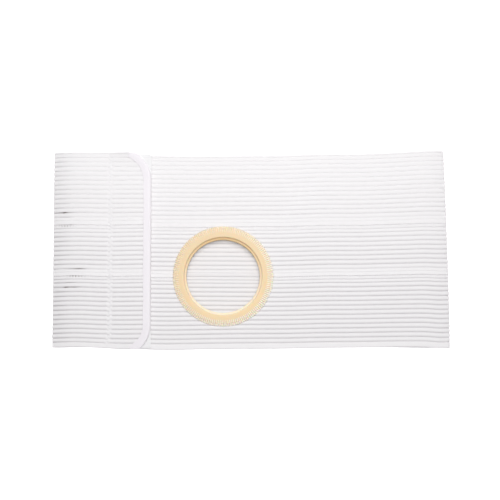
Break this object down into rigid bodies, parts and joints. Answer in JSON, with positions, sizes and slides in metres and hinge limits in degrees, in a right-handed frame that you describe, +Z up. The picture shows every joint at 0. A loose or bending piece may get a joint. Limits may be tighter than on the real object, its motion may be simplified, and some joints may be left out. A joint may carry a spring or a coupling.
{
  "type": "ostomy support belt",
  "caption": "Wide ribbed elastic support belt fastened into a loop and laid flat, with a moulded ring round its pouch opening and a bound hook-tape flap over its front.",
  "frame": {"origin": "centre of the belt's footprint, on the surface that it lies on", "axes": "+X along the laid belt, away from the flap; +Y towards the belt's upper edge; +Z up out of its front, along the axis of the pouch opening"},
  "size_m": [0.4114, 0.207, 0.0154],
  "materials": {
    "elastic": "white ribbed knitted elastic, matt",
    "binding": "white smooth binding tape with a fine sheen",
    "hook_tape": "white woven hook tape, matt",
    "ring": "soft moulded plastic, warm ivory, half matt, with fine radial ridges"
  },
  "bodies": {
    "root": {"upper_band": "elastic", "middle_band": "elastic", "lower_band": "elastic", "flap_binding": "binding", "hook_tape": "hook_tape", "pouch_ring": "ring"}
  },
  "joints": []
}
